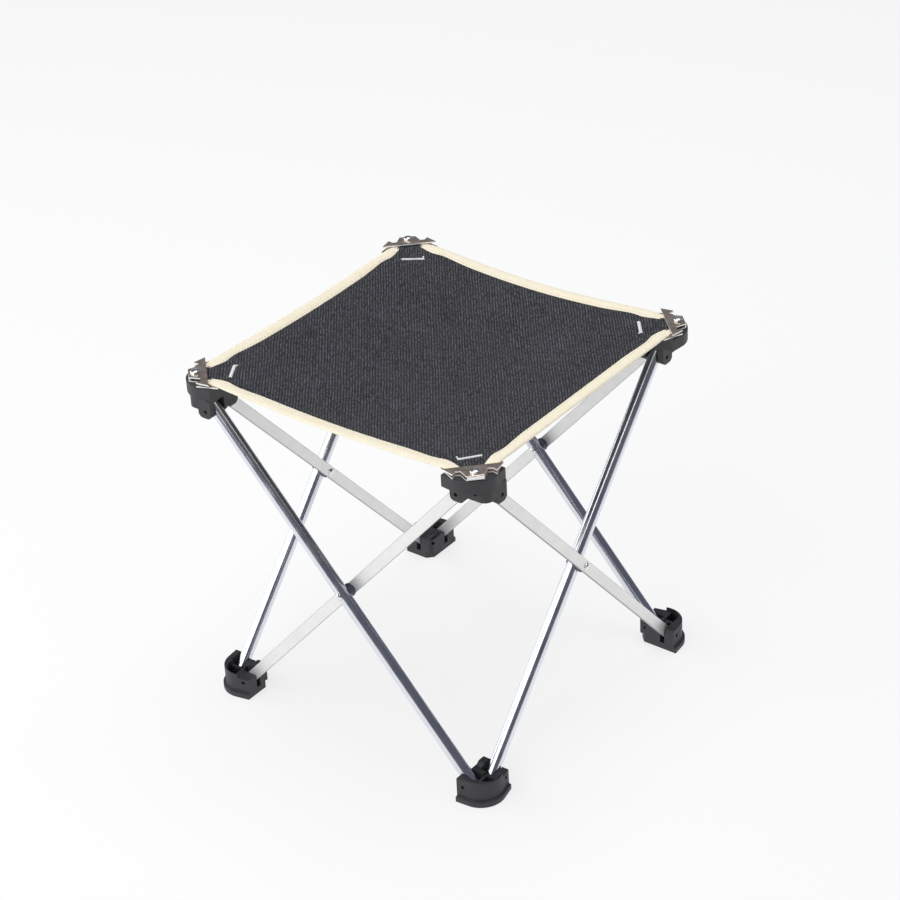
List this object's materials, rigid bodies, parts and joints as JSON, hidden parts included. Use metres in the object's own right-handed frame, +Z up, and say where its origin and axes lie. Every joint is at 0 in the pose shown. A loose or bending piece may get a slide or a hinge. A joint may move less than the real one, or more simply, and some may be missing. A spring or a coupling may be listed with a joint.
{
  "type": "folding camp stool",
  "caption": "Small square folding camp stool: crossed aluminium tubes and flat bars pinned in black plastic corner hubs and feet, with a bound black fabric seat.",
  "frame": {"origin": "on the ground under the middle of the open stool", "axes": "+Z up; the front corner is towards +X and -Y, the right corner +X +Y, the back corner -X +Y, the left corner -X -Y, and the sides lie along X and Y"},
  "size_m": [0.282, 0.282, 0.2907],
  "materials": {
    "hub_plastic": "moulded black nylon, fine matt texture",
    "foot_plastic": "moulded black nylon, fine matt texture",
    "tube_aluminium": "polished, clear anodised",
    "bar_aluminium": "satin, clear anodised",
    "clamp_steel": "stainless sheet, bright cut edges",
    "screw_steel": "bright plated",
    "rivet_steel": "bright plated",
    "pin_steel": "blackened",
    "spacer_plastic": "moulded black nylon",
    "seat_fabric": "ribbed black woven polyester",
    "edge_binding": "cream woven tape"
  },
  "bodies": {
    "foot_front": {"foot_front": "foot_plastic", "foot_pins_front": "pin_steel"},
    "hub_front": {"hub_front": "hub_plastic", "hub_pins_front": "pin_steel", "clamp_plate_front": "clamp_steel", "clamp_screw_front": "screw_steel", "seat_tab_front": "seat_fabric", "tab_binding_front": "edge_binding"},
    "seat_front": {"seat_panel_front": "seat_fabric", "panel_binding_front": "edge_binding"},
    "tube_front_right": {"tube_front_right": "tube_aluminium", "crossing_rivet_front_right": "rivet_steel", "crossing_spacer_front_right": "spacer_plastic"},
    "flat_front_right": {"flat_front_right": "bar_aluminium"},
    "foot_right": {"foot_right": "foot_plastic", "foot_pins_right": "pin_steel"},
    "hub_right": {"hub_right": "hub_plastic", "hub_pins_right": "pin_steel", "clamp_plate_right": "clamp_steel", "clamp_screw_right": "screw_steel", "seat_tab_right": "seat_fabric", "tab_binding_right": "edge_binding"},
    "seat_right": {"seat_panel_right": "seat_fabric", "panel_binding_right": "edge_binding"},
    "tube_right_back": {"tube_right_back": "tube_aluminium", "crossing_rivet_right_back": "rivet_steel", "crossing_spacer_right_back": "spacer_plastic"},
    "flat_right_back": {"flat_right_back": "bar_aluminium"},
    "foot_back": {"foot_back": "foot_plastic", "foot_pins_back": "pin_steel"},
    "hub_back": {"hub_back": "hub_plastic", "hub_pins_back": "pin_steel", "clamp_plate_back": "clamp_steel", "clamp_screw_back": "screw_steel", "seat_tab_back": "seat_fabric", "tab_binding_back": "edge_binding"},
    "seat_back": {"seat_panel_back": "seat_fabric", "panel_binding_back": "edge_binding"},
    "tube_back_left": {"tube_back_left": "tube_aluminium", "crossing_rivet_back_left": "rivet_steel", "crossing_spacer_back_left": "spacer_plastic"},
    "flat_back_left": {"flat_back_left": "bar_aluminium"},
    "foot_left": {"foot_left": "foot_plastic", "foot_pins_left": "pin_steel"},
    "hub_left": {"hub_left": "hub_plastic", "hub_pins_left": "pin_steel", "clamp_plate_left": "clamp_steel", "clamp_screw_left": "screw_steel", "seat_tab_left": "seat_fabric", "tab_binding_left": "edge_binding"},
    "seat_left": {"seat_panel_left": "seat_fabric", "panel_binding_left": "edge_binding"},
    "tube_left_front": {"tube_left_front": "tube_aluminium", "crossing_rivet_left_front": "rivet_steel", "crossing_spacer_left_front": "spacer_plastic"},
    "flat_left_front": {"flat_left_front": "bar_aluminium"}
  },
  "joints": [
    {"name": "stool_fold", "type": "hinge", "parent": "foot_front", "child": "tube_left_front", "pos_m": [0.111, -0.128, 0.0138], "axis": [0, 1, 0], "range_deg": [0, 37]},
    {"name": "crossing_left_front", "type": "hinge", "parent": "tube_left_front", "child": "flat_left_front", "pos_m": [0, -0.1232, 0.13945], "axis": [0, -1, 0], "range_deg": [0, 74]},
    {"name": "hub_pivot_left_left_front", "type": "hinge", "parent": "tube_left_front", "child": "hub_left", "pos_m": [-0.111, -0.128, 0.2651], "axis": [0, -1, 0], "range_deg": [0, 37]},
    {"name": "hub_pivot_front_left_front", "type": "hinge", "parent": "flat_left_front", "child": "hub_front", "pos_m": [0.111, -0.1184, 0.2651], "axis": [0, -1, 0], "range_deg": [-37, 0]},
    {"name": "foot_pivot_left_left_front", "type": "hinge", "parent": "flat_left_front", "child": "foot_left", "pos_m": [-0.111, -0.1184, 0.0138], "axis": [0, -1, 0], "range_deg": [-37, 0]},
    {"name": "foot_pivot_left_back_left", "type": "hinge", "parent": "foot_left", "child": "tube_back_left", "pos_m": [-0.128, -0.111, 0.0138], "axis": [-1, 0, 0], "range_deg": [-37, 0]},
    {"name": "crossing_back_left", "type": "hinge", "parent": "tube_back_left", "child": "flat_back_left", "pos_m": [-0.1232, 0, 0.13945], "axis": [-1, 0, 0], "range_deg": [0, 74]},
    {"name": "foot_pivot_back_back_left", "type": "hinge", "parent": "flat_back_left", "child": "foot_back", "pos_m": [-0.1184, 0.111, 0.0138], "axis": [-1, 0, 0], "range_deg": [-37, 0]},
    {"name": "hub_pivot_back_back_left", "type": "hinge", "parent": "tube_back_left", "child": "hub_back", "pos_m": [-0.128, 0.111, 0.2651], "axis": [-1, 0, 0], "range_deg": [0, 37]},
    {"name": "foot_pivot_front_front_right", "type": "hinge", "parent": "foot_front", "child": "tube_front_right", "pos_m": [0.1184, -0.111, 0.0138], "axis": [1, 0, 0], "range_deg": [0, 37]},
    {"name": "crossing_front_right", "type": "hinge", "parent": "tube_front_right", "child": "flat_front_right", "pos_m": [0.1232, 0, 0.13945], "axis": [1, 0, 0], "range_deg": [-74, 0]},
    {"name": "foot_pivot_right_front_right", "type": "hinge", "parent": "flat_front_right", "child": "foot_right", "pos_m": [0.128, 0.111, 0.0138], "axis": [1, 0, 0], "range_deg": [0, 37]},
    {"name": "hub_pivot_right_front_right", "type": "hinge", "parent": "tube_front_right", "child": "hub_right", "pos_m": [0.1184, 0.111, 0.2651], "axis": [1, 0, 0], "range_deg": [-37, 0]},
    {"name": "foot_pivot_right_right_back", "type": "hinge", "parent": "foot_right", "child": "tube_right_back", "pos_m": [0.111, 0.1184, 0.0138], "axis": [0, 1, 0], "range_deg": [0, 37]},
    {"name": "crossing_right_back", "type": "hinge", "parent": "tube_right_back", "child": "flat_right_back", "pos_m": [0, 0.1232, 0.13945], "axis": [0, 1, 0], "range_deg": [-74, 0]},
    {"name": "seat_fold_front", "type": "hinge", "parent": "hub_front", "child": "seat_front", "pos_m": [0.11625, -0.11625, 0.2863], "axis": [-0.7071, -0.7071, 0], "range_deg": [0, 85], "deforming": ["seat_panel_front", "panel_binding_front"]},
    {"name": "seat_fold_right", "type": "hinge", "parent": "hub_right", "child": "seat_right", "pos_m": [0.11625, 0.11625, 0.2863], "axis": [0.7071, -0.7071, 0], "range_deg": [0, 85], "deforming": ["seat_panel_right", "panel_binding_right"]},
    {"name": "seat_fold_back", "type": "hinge", "parent": "hub_back", "child": "seat_back", "pos_m": [-0.11625, 0.11625, 0.2863], "axis": [0.7071, 0.7071, 0], "range_deg": [0, 85], "deforming": ["seat_panel_back", "panel_binding_back"]},
    {"name": "seat_fold_left", "type": "hinge", "parent": "hub_left", "child": "seat_left", "pos_m": [-0.11625, -0.11625, 0.2863], "axis": [-0.7071, 0.7071, 0], "range_deg": [0, 85], "deforming": ["seat_panel_left", "panel_binding_left"]}
  ],
  "couplings": [
    {"joint": "crossing_left_front", "follows": "stool_fold", "ratio": 2},
    {"joint": "hub_pivot_left_left_front", "follows": "stool_fold", "ratio": 1},
    {"joint": "hub_pivot_front_left_front", "follows": "stool_fold", "ratio": -1},
    {"joint": "foot_pivot_left_left_front", "follows": "stool_fold", "ratio": -1},
    {"joint": "foot_pivot_left_back_left", "follows": "stool_fold", "ratio": -1},
    {"joint": "crossing_back_left", "follows": "stool_fold", "ratio": 2},
    {"joint": "foot_pivot_back_back_left", "follows": "stool_fold", "ratio": -1},
    {"joint": "hub_pivot_back_back_left", "follows": "stool_fold", "ratio": 1},
    {"joint": "foot_pivot_front_front_right", "follows": "stool_fold", "ratio": 1},
    {"joint": "crossing_front_right", "follows": "stool_fold", "ratio": -2},
    {"joint": "foot_pivot_right_front_right", "follows": "stool_fold", "ratio": 1},
    {"joint": "hub_pivot_right_front_right", "follows": "stool_fold", "ratio": -1},
    {"joint": "foot_pivot_right_right_back", "follows": "stool_fold", "ratio": 1},
    {"joint": "crossing_right_back", "follows": "stool_fold", "ratio": -2},
    {"joint": "seat_fold_front", "follows": "stool_fold", "ratio": 2.2968},
    {"joint": "seat_fold_right", "follows": "stool_fold", "ratio": 2.2968},
    {"joint": "seat_fold_back", "follows": "stool_fold", "ratio": 2.2968},
    {"joint": "seat_fold_left", "follows": "stool_fold", "ratio": 2.2968}
  ]
}
